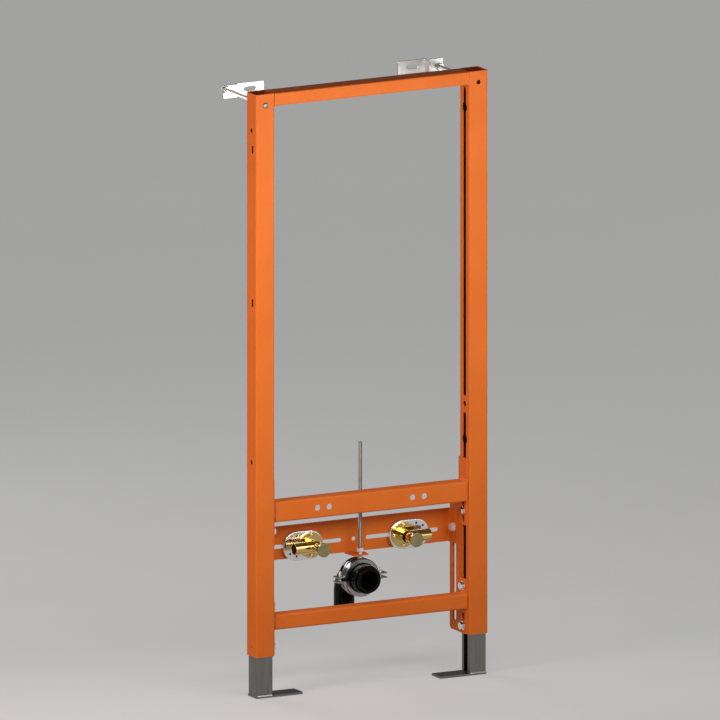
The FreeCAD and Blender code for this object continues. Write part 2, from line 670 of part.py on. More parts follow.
def drain_bend():
    """Waste bend: a socket in the clamp, a collar behind it, a quarter bend and a spigot downwards."""
    axis = Vector(0, CLAMP_Y, DRAIN_Z)
    bend_start = OUTLET_Y - BEND_RADIUS
    inner = PIPE_RADIUS - PIPE_WALL
    socket_bore = SOCKET_RADIUS - SOCKET_WALL
    collar_front = CLAMP_Y + BAND_WIDTH / 2 + COLLAR_GAP
    collar_back = collar_front + COLLAR_LENGTH
    socket = revolve([(0, SOCKET_FRONT), (SOCKET_RADIUS, SOCKET_FRONT), (SOCKET_RADIUS, collar_front),
                      (COLLAR_RADIUS, collar_front), (COLLAR_RADIUS, collar_back),
                      (PIPE_RADIUS + COLLAR_EDGE, bend_start), (0, bend_start)], axis)
    socket = soften_rim(socket, SOCKET_EDGE, SOCKET_FRONT)
    mouth = SOCKET_FRONT - SOCKET_EDGE
    hollow = revolve([(0, mouth), (socket_bore, mouth), (socket_bore, SOCKET_FLOOR),
                      (inner, bend_start), (0, bend_start)], axis)
    start = Vector(0, bend_start, DRAIN_Z)
    turn = Vector(0, bend_start, DRAIN_Z - BEND_RADIUS)
    drop = turn.z - OUTLET_BOTTOM

    def quarter(radius):
        disc = Part.Face(Part.Wire(Part.makeCircle(radius, start, AXES["y"])))
        return disc.revolve(turn, AXES["x"], -90)

    spigot_top = Vector(0, OUTLET_Y, turn.z)
    spigot = cylinder("z", spigot_top, 2 * PIPE_RADIUS, -drop)
    rim = [edge for edge in spigot.Edges if abs(edge.CenterOfMass.z - OUTLET_BOTTOM) < OUTLET_CHAMFER / 2]
    spigot = spigot.makeChamfer(OUTLET_CHAMFER, rim)
    outside = socket.fuse([quarter(PIPE_RADIUS), spigot]).removeSplitter()
    inside = [hollow, quarter(inner), cylinder("z", spigot_top, 2 * inner, -drop - OUTLET_CHAMFER)]
    return outside.cut(inside).removeSplitter()


def drain_seal():
    """Rubber sleeve in the socket, with a lip in front of it."""
    axis = Vector(0, CLAMP_Y, DRAIN_Z)
    sleeve = SOCKET_RADIUS - SOCKET_WALL - SEAL_CLEARANCE
    lip_back = SOCKET_FRONT - SEAL_CLEARANCE
    return revolve([(SEAL_BORE_RADIUS, SEAL_FRONT), (SEAL_LIP_RADIUS - SEAL_LIP_CHAMFER, SEAL_FRONT),
                    (SEAL_LIP_RADIUS, SEAL_FRONT + SEAL_LIP_CHAMFER), (SEAL_LIP_RADIUS, lip_back),
                    (sleeve, lip_back), (sleeve, SEAL_BACK), (SEAL_BORE_RADIUS, SEAL_BACK)], axis)


def clamp_lining():
    """Rubber lining between the socket and the band of the clamp, held by the lips of the band."""
    axis = Vector(0, CLAMP_Y, DRAIN_Z)
    half = BAND_WIDTH / 2 - LINING_INSET
    held = BAND_WIDTH / 2 - BAND_LIP_THICKNESS
    return revolve([(LINING_RADIUS, CLAMP_Y - half), (LIP_RADIUS, CLAMP_Y - half),
                    (LIP_RADIUS, CLAMP_Y - held), (BAND_RADIUS, CLAMP_Y - held),
                    (BAND_RADIUS, CLAMP_Y + held), (LIP_RADIUS, CLAMP_Y + held),
                    (LIP_RADIUS, CLAMP_Y + half), (LINING_RADIUS, CLAMP_Y + half)], axis)


def clamp_half():
    """Upper half of the band, with a bead and an inner lip along each edge and an ear on each side."""
    axis = Vector(0, CLAMP_Y, DRAIN_Z)
    y = (CLAMP_Y - BAND_WIDTH / 2, CLAMP_Y + BAND_WIDTH / 2)
    groove = (y[0] + BAND_LIP_THICKNESS, y[1] - BAND_LIP_THICKNESS)
    bead = CLAMP_RADIUS + BEAD_RISE
    ring = revolve([(LIP_RADIUS, y[0]), (CLAMP_RADIUS, y[0]), (bead, y[0] + BEAD_WIDTH / 3),
                    (bead, y[0] + 2 * BEAD_WIDTH / 3), (CLAMP_RADIUS, y[0] + BEAD_WIDTH),
                    (CLAMP_RADIUS, y[1] - BEAD_WIDTH), (bead, y[1] - 2 * BEAD_WIDTH / 3),
                    (bead, y[1] - BEAD_WIDTH / 3), (CLAMP_RADIUS, y[1]), (LIP_RADIUS, y[1]),
                    (LIP_RADIUS, groove[1]), (BAND_RADIUS, groove[1]),
                    (BAND_RADIUS, groove[0]), (LIP_RADIUS, groove[0])], axis)
    low = DRAIN_Z + EAR_GAP / 2
    keep = box((-EAR_REACH, EAR_REACH), y, (low, low + bead))
    half = ring.common(keep)
    inner = math.sqrt(BAND_RADIUS ** 2 - (EAR_GAP / 2) ** 2)
    for side in (-1, 1):
        x = sorted((side * inner, side * EAR_REACH))
        ear = soften(box(x, y, (low, low + BAND)), "z", BAND,
                     lambda point: abs(point.x) > EAR_REACH - BAND)
        hole = Vector(side * CLAMP_SCREW_X, CLAMP_Y, low + BAND / 2)
        ear = ear.cut(through_hole("z", hole, CLAMP_SCREW + THREAD_CLEARANCE, 2 * BAND))
        half = half.fuse(ear)
    return half.removeSplitter()


def clamp_upper_half():
    """Upper half of the clamp, with the low boss that takes the drain rod."""
    boss_top = Vector(0, CLAMP_Y, CLAMP_BOSS_TOP)
    boss = cylinder("z", boss_top, CLAMP_BOSS, -CLAMP_BOSS_RISE - BAND / 2)
    bore = cylinder("z", boss_top, BOLT + THREAD_CLEARANCE, -ROD_ENGAGEMENT)
    return clamp_half().fuse(boss).cut(bore).removeSplitter()


def clamp_lower_half():
    """Lower half of the clamp: the upper one turned over, without the boss."""
    return clamp_half().mirror(Vector(0, CLAMP_Y, DRAIN_Z), AXES["z"])


def clamp_screws():
    """Screws that draw the two halves of the clamp together, heads down."""
    seat = DRAIN_Z - EAR_GAP / 2 - BAND
    screws = []
    for side in (-1, 1):
        start = Vector(side * CLAMP_SCREW_X, CLAMP_Y, seat)
        head = cylinder("z", start, CLAMP_SCREW_HEAD, -CLAMP_SCREW_HEAD_HEIGHT)
        screws.append(head.fuse(cylinder("z", start, CLAMP_SCREW, CLAMP_SCREW_TOP - seat)).removeSplitter())
    return screws


def drain_rod():
    """Threaded rod that hangs the clamp from the tab."""
    start = Vector(0, CLAMP_Y, CLAMP_BOSS_TOP - ROD_ENGAGEMENT)
    return cylinder("z", start, BOLT, DRAIN_ROD_TOP - start.z)


def right_wall_plate():
    """Joggled plate that bears on the wall: a slotted end and an end for the rod."""
    back = WALL_Y
    front = WALL_Y - WALL_PLATE
    lean = WALL_PLATE * (math.hypot(WALL_JOGGLE, WALL_JOGGLE_RUN) - WALL_JOGGLE_RUN) / WALL_JOGGLE
    step = WALL_JOGGLE_X + WALL_JOGGLE_RUN
    outline = [
        (WALL_PLATE_INNER, front), (WALL_JOGGLE_X - lean, front),
        (step - lean, front - WALL_JOGGLE), (WALL_PLATE_OUTER, front - WALL_JOGGLE),
        (WALL_PLATE_OUTER, back - WALL_JOGGLE), (step, back - WALL_JOGGLE),
        (WALL_JOGGLE_X, back), (WALL_PLATE_INNER, back),
    ]
    middle = WALL_ROD_Z + WALL_ROD_OFFSET
    points = [Vector(x, y, middle - WALL_PLATE_HEIGHT / 2) for x, y in outline]
    face = Part.Face(Part.makePolygon(points + points[:1]))
    plate = face.extrude(Vector(0, 0, WALL_PLATE_HEIGHT))
    plate = soften(plate, "y", WALL_PLATE_RADIUS)
    length, width = WALL_SLOT
    slot_middle = Vector(WALL_SLOT_X, front + WALL_PLATE / 2, middle)
    hole = Vector(POST_X, ROD_PLATE_FRONT + WALL_PLATE / 2, WALL_ROD_Z)
    return plate.cut([slot("y", "x", slot_middle, length, width, 2 * WALL_PLATE),
                      through_hole("y", hole, BOLT_HOLE, 2 * WALL_PLATE)])


def left_wall_plate():
    """The right wall plate, turned half a turn about the line of its rod."""
    plate = mirrored(right_wall_plate())
    return plate.mirror(Vector(0, 0, WALL_ROD_Z), AXES["z"])


def wall_rod(side, start_y):
    """Threaded rod from the post to the wall plate."""
    back = WALL_Y - WALL_JOGGLE + THIN_NUT_HEIGHT
    start = Vector(side * POST_X, start_y, WALL_ROD_Z)
    return cylinder("y", start, BOLT, back + BOLT_TIP / 2 - start_y)


def left_wall_rod():
    """Left rod, whose head shows in the front of the post."""
    start = Vector(-POST_X, 0, WALL_ROD_Z)
    head = cylinder("y", start, WALL_ROD_HEAD, -WALL_ROD_HEAD_HEIGHT)
    return head.fuse(wall_rod(-1, 0)).removeSplitter()


def right_wall_nuts():
    """Nuts behind the post and on both sides of the wall plate."""
    places = [(POST_SIDE, NUT_HEIGHT), (ROD_PLATE_FRONT - NUT_HEIGHT, NUT_HEIGHT),
              (ROD_PLATE_FRONT + WALL_PLATE, THIN_NUT_HEIGHT)]
    return [nut("y", Vector(POST_X, y, WALL_ROD_Z), height) for y, height in places]


def main():
    os.makedirs("parts", exist_ok=True)
    save_pair("post", right_post())
    save_pair("leg", right_leg())
    save_pair("foot_plate", right_foot_plate())
    save_pair("side_plate", right_side_plate())
    save("top_bar", top_bar())
    save("upper_rail", upper_rail())
    save("lower_rail", channel(LOWER_RAIL_Z, LOWER_RAIL_HEIGHT, LOWER_RAIL_DEPTH))

    save_pair("side_bolts", *[right_side_bolt(height) for height in SIDE_BOLT_HEIGHTS])
    save_pair("slot_nuts", *[right_slot_nut(height) for height in SIDE_BOLT_HEIGHTS])
    save("tap_plate", tap_plate())
    save_pair("tap_plate_bolt", right_tap_plate_bolt())
    save_pair("tap_plate_nut", right_tap_plate_nut())

    save_pair("tap_mount", right_tap_mount())
    save_pair("mount_nuts", *right_mount_nuts())
    save_pair("tap_elbow", right_tap_elbow())
    save_pair("tap_plug", right_tap_plug())
    save_pair("tap_screws", *right_tap_screws())

    save("drain_bend", drain_bend())
    save("drain_seal", drain_seal())
    save("clamp_lining", clamp_lining())
    save("clamp_upper_half", clamp_upper_half())
    save("clamp_lower_half", clamp_lower_half())
    save("clamp_screws", *clamp_screws())
    save("drain_rod", drain_rod())
    save("drain_rod_nut", nut("z", Vector(0, CLAMP_Y, TAP_PLATE_BOTTOM + DRAIN_NUT_LIFT), NUT_HEIGHT))

    save("right_wall_plate", right_wall_plate())
    save("left_wall_plate", left_wall_plate())
    save("right_wall_rod", wall_rod(1, POST_SIDE - WALL_ROD_INSIDE))
    save("left_wall_rod", left_wall_rod())
    save_pair("wall_nuts", *right_wall_nuts())


main()
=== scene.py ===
"""Dress the wall hung bidet frame: materials, threads, screw heads, welds, studio and camera."""
import json
import math

import bmesh
import bpy
from mathutils import Matrix, Vector


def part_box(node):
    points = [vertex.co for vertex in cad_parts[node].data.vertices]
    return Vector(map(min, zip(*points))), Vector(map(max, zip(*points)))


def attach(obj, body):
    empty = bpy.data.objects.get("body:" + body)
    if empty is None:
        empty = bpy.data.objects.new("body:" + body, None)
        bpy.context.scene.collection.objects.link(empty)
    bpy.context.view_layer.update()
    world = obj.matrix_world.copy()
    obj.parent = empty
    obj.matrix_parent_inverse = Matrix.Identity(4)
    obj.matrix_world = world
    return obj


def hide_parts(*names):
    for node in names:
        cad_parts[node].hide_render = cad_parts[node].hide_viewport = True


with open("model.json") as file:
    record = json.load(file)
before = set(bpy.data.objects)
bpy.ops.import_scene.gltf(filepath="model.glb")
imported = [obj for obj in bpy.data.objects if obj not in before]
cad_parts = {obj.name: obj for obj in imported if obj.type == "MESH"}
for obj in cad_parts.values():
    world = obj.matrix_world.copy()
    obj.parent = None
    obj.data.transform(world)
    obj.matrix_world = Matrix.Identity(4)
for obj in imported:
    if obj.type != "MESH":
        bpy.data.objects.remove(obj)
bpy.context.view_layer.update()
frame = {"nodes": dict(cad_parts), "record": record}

X_AXIS = Vector((1, 0, 0))
Y_AXIS = Vector((0, 1, 0))
Z_AXIS = Vector((0, 0, 1))

# View of the photograph: angles in degrees, the rest in metres
VIEW_AZIMUTH = -27.7
VIEW_ELEVATION = 12.1
VIEW_WIDTH = 1.3755
VIEW_TARGET = Vector((0.204, -0.020, 0.6407))
VIEW_DISTANCE = 6.0

# Threads: sizes in metres, the inlet's root as a share of its depth, then the facets round and along
ROD_RADIUS = 0.004
ROD_PITCH = 0.00125
ROD_DEPTH = 0.0007
CLAMP_SCREW_RADIUS = 0.0025
CLAMP_SCREW_PITCH = 0.0008
CLAMP_SCREW_DEPTH = 0.0004
INLET_RADIUS = 0.00928
INLET_PITCH = 0.001814
INLET_DEPTH = 0.0006
INLET_THREAD_LENGTH = 0.0145
INLET_ROOT_SHARE = 1 / 3
THREAD_SIDES = 20
THREAD_ROWS = 5
FEWEST_THREAD_ROWS = 4

# Screw heads: the dome as shares of radius and height, and the cross recess as shares of the head
HEAD_SIDES = 32
HEAD_DOME = ((1, 0), (1, 0.40), (0.94, 0.68), (0.74, 0.88), (0.40, 0.98), (0.05, 1))
RECESS_REACH = 0.62
RECESS_WIDTH = 0.20
RECESS_DEPTH = 0.55
RECESS_TAPER = 0.75
RECESS_TOP = 1.2
RECESS_ARMS = 4
CLAMP_HEAD_HEIGHT = 0.003
TAP_HEAD_HEIGHT = 0.003
ROD_HEAD_HEIGHT = 0.0025

# Plain shanks of the elbow screws: radius, where the point starts and how far it narrows
SHANK_RADIUS = 0.002
SHANK_SHARE = 0.9
POINT_SHARE = 0.5
SHANK_SIDES = 16

# Welds: reach in metres, facets across, step and depth of the ripple, small ends and flattened middle
WELD_SIZE = 0.0032
LEG_WELD_SIZE = 0.0019
WELD_SIDES = 6
WELD_STEP = 0.0016
WELD_RIPPLE = 0.14
WELD_END = 0.35
WELD_THROAT = 0.82
FEWEST_WELD_STEPS = 2

# Meshes: edges sharper than this stay sharp, points closer than this are one, decimals of a level
CREASE_ANGLE = math.radians(38)
MERGE_DISTANCE = 1e-6
LEVEL_DECIMALS = 4

# Noise of the materials: detail, the part of its range over which a tint changes, and no stretch
NOISE_DETAIL = 3.0
TINT_FROM = 0.3
TINT_TO = 0.7
EVEN = (1, 1, 1)

# Painted shade inside the post tubes: half width of the hollow, depth below the mouth over which the painted
# shade fades in, the coat's colour at the mouth and the near-black painted shade deeper down
TUBE_INSIDE = 0.0183
SHADE_FADE_DEPTH = 0.05
MOUTH_COAT = (0.78, 0.16, 0.022)
TUBE_SHADE = (0.045, 0.014, 0.006)

# Studio
FLOOR_SIZE = 40.0
FLOOR_GLOW = 0.31
FLOOR_DARK = (0.38, 0.38, 0.38)
FLOOR_LIGHT = (0.40, 0.40, 0.40)
FLOOR_PATCHES = 3.0
FLOOR_ROUGHNESS = 0.8
FLOOR_SPECULAR = 0.2
WORLD_COLOR = (0.83, 0.80, 0.76)
WORLD_STRENGTH = 0.15
KEY_AIM = Vector((0.204, -0.020, 1.15))
WHITE = (1, 1, 1)
WARM = (1, 0.84, 0.72)


def middle(low, high):
    """Centre of a box."""
    return (low + high) / 2


def new_material(name):
    """Empty node material with its principled shader."""
    material = bpy.data.materials.new(name)
    material.use_nodes = True
    shader = material.node_tree.nodes["Principled BSDF"]
    return material, shader


def noise_field(material, scale, stretch=EVEN):
    """Noise in the object's own space, stretched where a grain runs one way."""
    nodes = material.node_tree.nodes
    links = material.node_tree.links
    place = nodes.new("ShaderNodeTexCoord")
    mapping = nodes.new("ShaderNodeMapping")
    mapping.inputs["Scale"].default_value = stretch
    noise = nodes.new("ShaderNodeTexNoise")
    noise.inputs["Scale"].default_value = scale
    noise.inputs["Detail"].default_value = NOISE_DETAIL
    links.new(place.outputs["Object"], mapping.inputs["Vector"])
    links.new(mapping.outputs["Vector"], noise.inputs["Vector"])
    return noise.outputs["Fac"]


def tint(material, shader, field, dark, light):
    """Base colour that wanders between two tints with a noise field."""
    ramp = material.node_tree.nodes.new("ShaderNodeValToRGB")
    stops = zip(ramp.color_ramp.elements, (TINT_FROM, TINT_TO), (dark, light))
    for stop, position, color in stops:
        stop.position = position
        stop.color = (*color, 1)
    material.node_tree.links.new(field, ramp.inputs["Fac"])
    material.node_tree.links.new(ramp.outputs["Color"], shader.inputs["Base Color"])


def vary_roughness(material, shader, field, low, high):
    """Roughness between two values with a noise field."""
    spread = material.node_tree.nodes.new("ShaderNodeMapRange")
    spread.inputs["To Min"].default_value = low
    spread.inputs["To Max"].default_value = high
    material.node_tree.links.new(field, spread.inputs["Value"])
    material.node_tree.links.new(spread.outputs["Result"], shader.inputs["Roughness"])


def bump(material, shader, field, height, strength):
    """Fine relief from a noise field."""
    relief = material.node_tree.nodes.new("ShaderNodeBump")
    relief.inputs["Distance"].default_value = height
    relief.inputs["Strength"].default_value = strength
    material.node_tree.links.new(field, relief.inputs["Height"])
    material.node_tree.links.new(relief.outputs["Normal"], shader.inputs["Normal"])


def surface(name, dark, light, patches, roughness, gloss_patches, relief, relief_scale=900.0,
            relief_height=0.0001, tint_stretch=EVEN, relief_stretch=EVEN, metallic=1.0, specular=0.5):
    """Material with two tints in patches, uneven roughness and a fine relief."""
    material, shader = new_material(name)
    shader.inputs["Metallic"].default_value = metallic
    shader.inputs["Specular IOR Level"].default_value = specular
    tint(material, shader, noise_field(material, patches, tint_stretch), dark, light)
    vary_roughness(material, shader, noise_field(material, gloss_patches), *roughness)
    bump(material, shader, noise_field(material, relief_scale, relief_stretch), relief_height, relief)
    return material


def orange_paint(name="orange_powder_coat"):
    """Satin powder coat with a faint orange peel."""
    return surface(name, dark=(0.735, 0.154, 0.019), light=(0.795, 0.176, 0.024), patches=9.0,
                   roughness=(0.44, 0.56), gloss_patches=60.0, relief=0.12, relief_scale=700.0,
                   relief_height=0.0002, metallic=0.0, specular=0.14)


def calculate(material, operation, *values):
    """Output of a math node whose inputs are sockets or numbers."""
    node = material.node_tree.nodes.new("ShaderNodeMath")
    node.operation = operation
    for socket, value in zip(node.inputs, values):
        if isinstance(value, bpy.types.NodeSocket):
            material.node_tree.links.new(value, socket)
        else:
            socket.default_value = value
    return node.outputs["Value"]


def post_paint(node):
    """The same coat on a post, with painted shade inside the tube that darkens below the mouth."""
    material = orange_paint(f"{node}_powder_coat")
    nodes = material.node_tree.nodes
    links = material.node_tree.links
    shader = nodes["Principled BSDF"]
    coat = shader.inputs["Base Color"].links[0].from_socket
    place = nodes.new("ShaderNodeTexCoord")
    parts = nodes.new("ShaderNodeSeparateXYZ")
    links.new(place.outputs["Object"], parts.inputs["Vector"])
    low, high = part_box(node)
    centre = middle(low, high)
    within = []
    for axis, centre_line in (("X", centre.x), ("Y", centre.y)):
        offset = calculate(material, "SUBTRACT", parts.outputs[axis], centre_line)
        distance = calculate(material, "ABSOLUTE", offset)
        within.append(calculate(material, "LESS_THAN", distance, TUBE_INSIDE))
    inside = calculate(material, "MULTIPLY", *within)
    # Painted shade inside the tube: the coat's colour at the mouth fades to near black deeper down
    depth = nodes.new("ShaderNodeMapRange")
    depth.inputs["From Min"].default_value = high.z - SHADE_FADE_DEPTH
    depth.inputs["From Max"].default_value = high.z
    links.new(parts.outputs["Z"], depth.inputs["Value"])
    inner_shade = nodes.new("ShaderNodeMix")
    inner_shade.data_type = "RGBA"
    inner_shade.inputs["A"].default_value = (*TUBE_SHADE, 1)
    inner_shade.inputs["B"].default_value = (*MOUTH_COAT, 1)
    links.new(depth.outputs["Result"], inner_shade.inputs["Factor"])
    blend = nodes.new("ShaderNodeMix")
    blend.data_type = "RGBA"
    links.new(inside, blend.inputs["Factor"])
    links.new(coat, blend.inputs["A"])
    links.new(inner_shade.outputs["Result"], blend.inputs["B"])
    links.new(blend.outputs["Result"], shader.inputs["Base Color"])
    return material


def bright_zinc():
    """Bright zinc plate of the nuts."""
    return surface("bright_zinc", dark=(0.58, 0.58, 0.57), light=(0.72, 0.72, 0.71), patches=45.0,
                   roughness=(0.12, 0.22), gloss_patches=160.0, relief=0.02)


def weld_highlight_zinc():
    """Whitish, satin metal of the leg welds, lighter than the legs as a painted highlight along their bases.
    """
    return surface("weld_highlight_zinc", dark=(0.77, 0.77, 0.76), light=(0.82, 0.82, 0.81), patches=60.0,
                   roughness=(0.28, 0.38), gloss_patches=120.0, relief=0.03, relief_scale=800.0)


def white_zinc():
    """Clear passivated zinc of the wall rods, the drain rod's neck and nut, clamp screws and most bolts; on
    the drain rod's neck and the left side bolts it stands as a painted highlight, whiter than the rest of the
    rod and the right side bolts.
    """
    return surface("white_zinc", dark=(0.82, 0.81, 0.79), light=(0.88, 0.87, 0.85), patches=90.0,
                   roughness=(0.18, 0.28), gloss_patches=150.0, relief=0.02, metallic=0.4)


def polished_zinc():
    """Polished zinc of the tap mounts and the right side bolts."""
    return surface("polished_zinc", dark=(0.80, 0.80, 0.79), light=(0.88, 0.88, 0.87), patches=60.0,
                   roughness=(0.15, 0.22), gloss_patches=150.0, relief=0.02)


def plate_zinc():
    """Satin zinc of the wall plates."""
    return surface("plate_zinc", dark=(0.58, 0.58, 0.57), light=(0.66, 0.66, 0.65), patches=60.0,
                   roughness=(0.36, 0.44), gloss_patches=150.0, relief=0.02)


def dull_zinc():
    """Grey zinc of the drain rod's thread."""
    return surface("dull_zinc", dark=(0.42, 0.42, 0.41), light=(0.54, 0.54, 0.52), patches=120.0,
                   roughness=(0.36, 0.48), gloss_patches=200.0, relief=0.06)


def clamp_zinc():
    """Darker, smooth zinc of the pipe clamp."""
    return surface("clamp_zinc", dark=(0.32, 0.32, 0.32), light=(0.43, 0.43, 0.42), patches=60.0,
                   roughness=(0.15, 0.22), gloss_patches=150.0, relief=0.02)


def galvanised_steel():
    """Dull galvanised steel of the legs, foot plates and left wall rod's head, with an upright grain."""
    return surface("galvanised_steel", dark=(0.178, 0.172, 0.162), light=(0.225, 0.22, 0.207), patches=220.0,
                   roughness=(0.30, 0.46), gloss_patches=90.0, relief=0.06, relief_scale=600.0,
                   tint_stretch=(1, 1, 0.06), relief_stretch=(1, 1, 0.08))


def brass():
    """Machined brass of the elbows."""
    return surface("machined_brass", dark=(0.62, 0.43, 0.13), light=(0.74, 0.54, 0.20), patches=70.0,
                   roughness=(0.03, 0.09), gloss_patches=200.0, relief=0.04)


def dull_brass():
    """Duller, greyer brass of the test plugs."""
    return surface("dull_brass", dark=(0.33, 0.28, 0.13), light=(0.43, 0.36, 0.17), patches=70.0,
                   roughness=(0.16, 0.28), gloss_patches=200.0, relief=0.03)


def bright_brass():
    """Polished brass of the elbow screws."""
    return surface("bright_brass", dark=(0.88, 0.66, 0.24), light=(0.95, 0.76, 0.34), patches=90.0,
                   roughness=(0.12, 0.22), gloss_patches=200.0, relief=0.04)


def shaded_brass():
    """Brass in the mouth of an inlet, darkened as painted shade."""
    return surface("shaded_brass", dark=(0.10, 0.045, 0.015), light=(0.16, 0.075, 0.025), patches=90.0,
                   roughness=(0.25, 0.40), gloss_patches=200.0, relief=0.06)


def black_plastic():
    """Gloss black plastic of the waste bend."""
    return surface("gloss_black_plastic", dark=(0.002, 0.002, 0.003), light=(0.004, 0.004, 0.005),
                   patches=30.0, roughness=(0.08, 0.15), gloss_patches=120.0, relief=0.05,
                   relief_scale=500.0, metallic=0.0, specular=0.10)


def rubber():
    """Smooth black rubber of the seal and the clamp's lining."""
    return surface("black_rubber", dark=(0.002, 0.002, 0.002), light=(0.004, 0.004, 0.004), patches=80.0,
                   roughness=(0.12, 0.20), gloss_patches=300.0, relief=0.10, relief_scale=1200.0,
                   metallic=0.0, specular=0.10)


MATERIALS = {
    "orange_paint": orange_paint(),
    "left_post": post_paint("left_post"),
    "right_post": post_paint("right_post"),
    "zinc": bright_zinc(),
    "weld_highlight_zinc": weld_highlight_zinc(),
    "white_zinc": white_zinc(),
    "polished_zinc": polished_zinc(),
    "plate_zinc": plate_zinc(),
    "dull_zinc": dull_zinc(),
    "clamp_zinc": clamp_zinc(),
    "galvanised_steel": galvanised_steel(),
    "brass": brass(),
    "dull_brass": dull_brass(),
    "bright_brass": bright_brass(),
    "shaded_brass": shaded_brass(),
    "black_plastic": black_plastic(),
    "rubber": rubber(),
}

# Nodes whose finish isn't that of their slot
FINISHES = {
    "left_post": "left_post",
    "right_post": "right_post",
    "left_wall_plate": "plate_zinc",
    "right_wall_plate": "plate_zinc",
    "clamp_upper_half": "clamp_zinc",
    "clamp_lower_half": "clamp_zinc",
    "left_tap_mount": "polished_zinc",
    "right_tap_mount": "polished_zinc",
    "left_tap_plug": "dull_brass",
    "right_tap_plug": "dull_brass",
    # The left side bolts are the same as the right ones; their whiter, less metallic finish is a painted
    # highlight
    "left_side_bolts": "white_zinc",
    "right_side_bolts": "polished_zinc",
    "drain_rod_nut": "white_zinc",
    "left_tap_plate_bolt": "white_zinc",
    "right_tap_plate_bolt": "white_zinc",
}


def paint_nodes():
    """Give each CAD node the material of its slot, or its own finish."""
    for subpart in frame["record"]["subparts"]:
        name = subpart["node"]
        finish = FINISHES.get(name, subpart["material_slot"])
        node = frame["nodes"][name]
        node.data.materials.clear()
        node.data.materials.append(MATERIALS[finish])


def solid_boxes(node):
    """Lowest and highest corners of each separate solid of a CAD node, from low to high."""
    shape = bmesh.new()
    shape.from_mesh(frame["nodes"][node].data)
    bmesh.ops.remove_doubles(shape, verts=shape.verts, dist=MERGE_DISTANCE)
    left = set(shape.verts)
    boxes = []
    while left:
        front = [left.pop()]
        island = []
        while front:
            vertex = front.pop()
            island.append(vertex.co.copy())
            for edge in vertex.link_edges:
                other = edge.other_vert(vertex)
                if other in left:
                    left.remove(other)
                    front.append(other)
        low = Vector(min(point[axis] for point in island) for axis in range(3))
        high = Vector(max(point[axis] for point in island) for axis in range(3))
        boxes.append((low, high))
    shape.free()
    return sorted(boxes, key=lambda corners: (round(corners[0].z, LEVEL_DECIMALS), corners[0].x))


def placed(base, along):
    """Matrix that stands something made along +Z on a base point, along a direction."""
    return Matrix.Translation(base) @ Z_AXIS.rotation_difference(along).to_matrix().to_4x4()


def join_rings(shape, rings, capped=True):
    """Skin a row of closed rings, with flat ends where asked."""
    for lower, upper in zip(rings, rings[1:]):
        for step in range(len(lower)):
            after = (step + 1) % len(lower)
            shape.faces.new((lower[step], lower[after], upper[after], upper[step]))
    if capped:
        shape.faces.new(list(reversed(rings[0])))
        shape.faces.new(rings[-1])


def circle(shape, matrix, height, radius_at, sides):
    """Ring of points at a height, whose radius depends on the share of a turn."""
    ring = []
    for step in range(sides):
        turn = step / sides
        radius = radius_at(turn)
        angle = 2 * math.pi * turn
        point = Vector((radius * math.cos(angle), radius * math.sin(angle), height))
        ring.append(shape.verts.new(matrix @ point))
    return ring


def turn_profile(shape, matrix, profile, sides):
    """Solid of revolution from radius and height pairs."""
    rings = [circle(shape, matrix, height, lambda turn: radius, sides) for radius, height in profile]
    join_rings(shape, rings)


def thread_rings(shape, matrix, root, rise, pitch, length):
    """Rings of a helical ridge on a root radius: the ridge runs out at both ends."""
    rows = max(FEWEST_THREAD_ROWS, round(length / pitch * THREAD_ROWS))
    rings = []
    for row in range(rows + 1):
        height = length * row / rows
        fade = min(1.0, height / pitch, (length - height) / pitch)

        def ridge(turn):
            return root + rise * fade * abs(2 * ((height / pitch - turn) % 1.0) - 1)

        rings.append(circle(shape, matrix, height, ridge, THREAD_SIDES))
    return rings


def cut_thread(shape, matrix, radius, depth, pitch, length):
    """Bar with an outside thread."""
    join_rings(shape, thread_rings(shape, matrix, radius - depth, depth, pitch, length))


def threaded_sleeve(shape, matrix, radius, depth, pitch, length):
    """Thin sleeve with an inside thread."""
    rings = thread_rings(shape, matrix, radius - depth * INLET_ROOT_SHARE, -depth, pitch, length)
    outside = [circle(shape, matrix, height, lambda turn: radius, THREAD_SIDES) for height in (length, 0)]
    loop = rings + outside
    join_rings(shape, loop + loop[:1], capped=False)
    bmesh.ops.recalc_face_normals(shape, faces=shape.faces)


def to_mesh(name, shape):
    """Finish a bmesh as mesh data."""
    mesh = bpy.data.meshes.new(name)
    shape.to_mesh(mesh)
    shape.free()
    return mesh


def carve(mesh, cutter):
    """Mesh less a cutter mesh."""
    scene = bpy.context.scene
    body = bpy.data.objects.new("carve_body", mesh)
    tool = bpy.data.objects.new("carve_tool", cutter)
    for item in (body, tool):
        scene.collection.objects.link(item)
    step = body.modifiers.new("carve", "BOOLEAN")
    step.operation = "DIFFERENCE"
    step.object = tool
    step.solver = "EXACT"
    graph = bpy.context.evaluated_depsgraph_get()
    result = bpy.data.meshes.new_from_object(body.evaluated_get(graph))
    for item in (body, tool):
        bpy.data.objects.remove(item)
    return result


def pan_head(radius, height):
    """Domed screw head with a cross recess, on the origin along +Z."""
    dome = bmesh.new()
    profile = [(across * radius, up * height) for across, up in HEAD_DOME]
    turn_profile(dome, Matrix(), profile, HEAD_SIDES)
    cross = bmesh.new()
    reach = RECESS_REACH * radius
    half = RECESS_WIDTH * radius / 2
    rings = []
    for level, taper in ((1 - RECESS_DEPTH, RECESS_TAPER), (RECESS_TOP, 1.0)):
        ring = []
        for arm in range(RECESS_ARMS):
            spin = Matrix.Rotation(arm * 2 * math.pi / RECESS_ARMS, 3, "Z")
            for x, y in ((half, -half), (reach * taper, -half), (reach * taper, half)):
                ring.append(cross.verts.new(spin @ Vector((x, y, level * height))))
        rings.append(ring)
    join_rings(cross, rings)
    return carve(to_mesh("pan_head_dome", dome), to_mesh("pan_head_cross", cross))


def add_mesh(shape, mesh, matrix):
    """Copy mesh data into a bmesh at a place."""
    known = len(shape.verts)
    shape.from_mesh(mesh)
    shape.verts.ensure_lookup_table()
    bmesh.ops.transform(shape, matrix=matrix, verts=shape.verts[known:])


